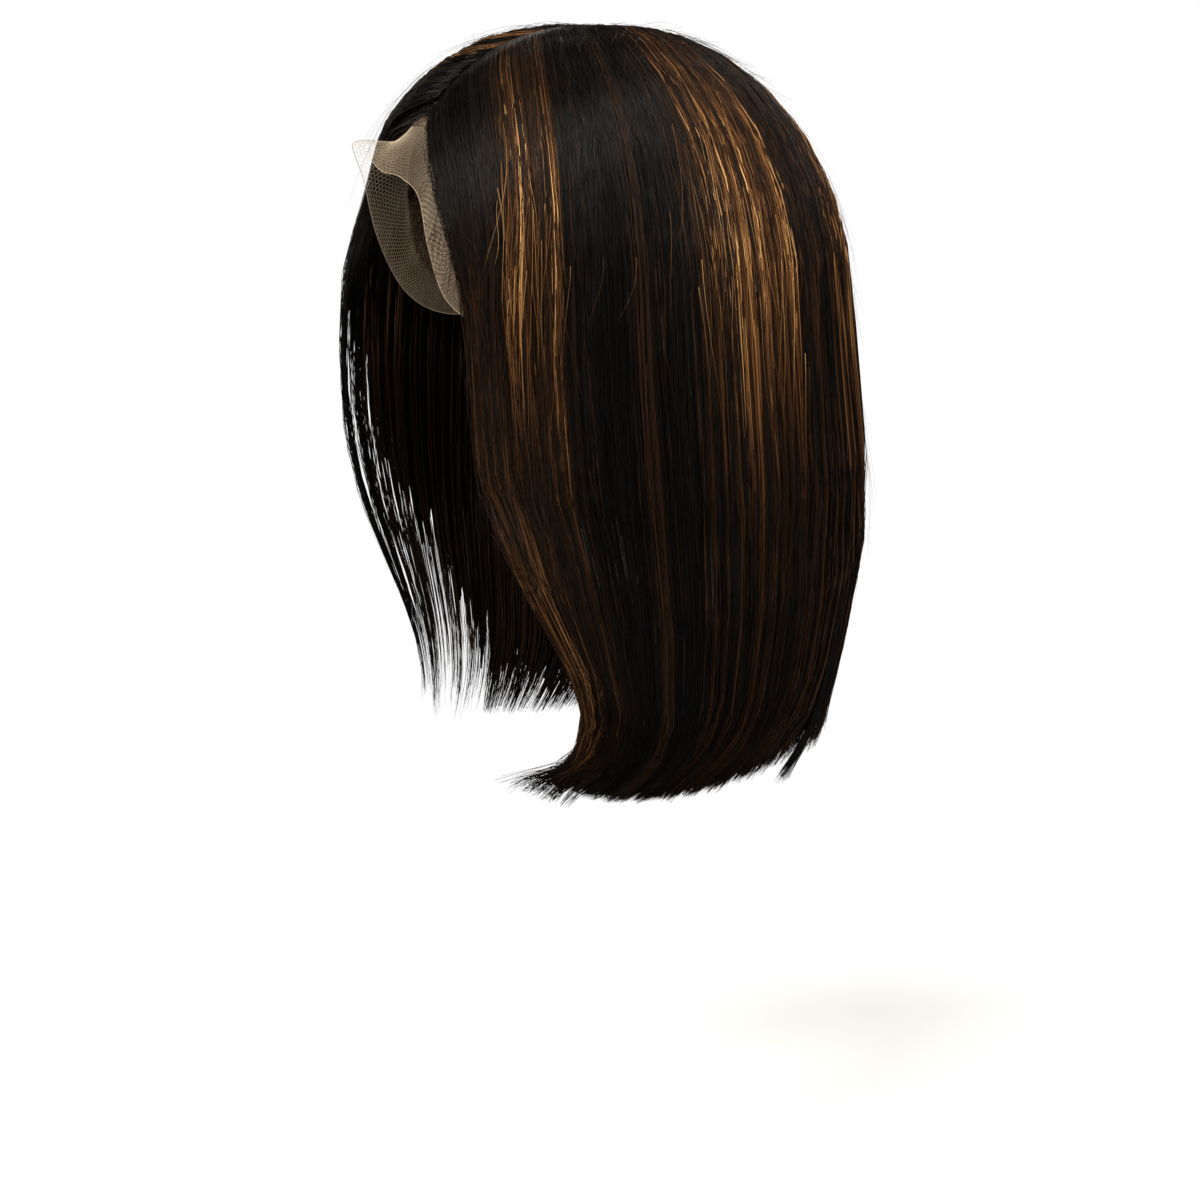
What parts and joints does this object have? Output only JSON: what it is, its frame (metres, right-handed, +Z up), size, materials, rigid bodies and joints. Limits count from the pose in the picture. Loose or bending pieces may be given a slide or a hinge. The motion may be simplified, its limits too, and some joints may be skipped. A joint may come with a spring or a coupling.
{
  "type": "lace front wig",
  "caption": "Straight bob wig of near-black hair with caramel highlights, on a closed cap with a sheer lace front, open below for the head.",
  "frame": {"origin": "inside top of the cap, where the crown of the head sits", "axes": "+Z up, the face opening towards -Y, the wearer's left towards +X"},
  "size_m": [0.2031, 0.2129, 0.3164],
  "materials": {
    "dark_hair": "satin hair",
    "caramel_hair": "satin hair",
    "lace": "sheer net",
    "cap_net": "matt stretch net"
  },
  "bodies": {
    "root": {"lace_front": "lace", "cap": "cap_net", "hair_left_front": "dark_hair", "highlight_left_front": "caramel_hair", "hair_left_side": "dark_hair", "highlight_left_side": "caramel_hair", "hair_left_back": "dark_hair", "highlight_left_back": "caramel_hair", "hair_back": "dark_hair", "highlight_right_back": "caramel_hair", "hair_right_back": "dark_hair", "highlight_right_side": "caramel_hair", "hair_right_side": "dark_hair", "highlight_right_front": "caramel_hair", "hair_right_front": "dark_hair"}
  },
  "joints": []
}
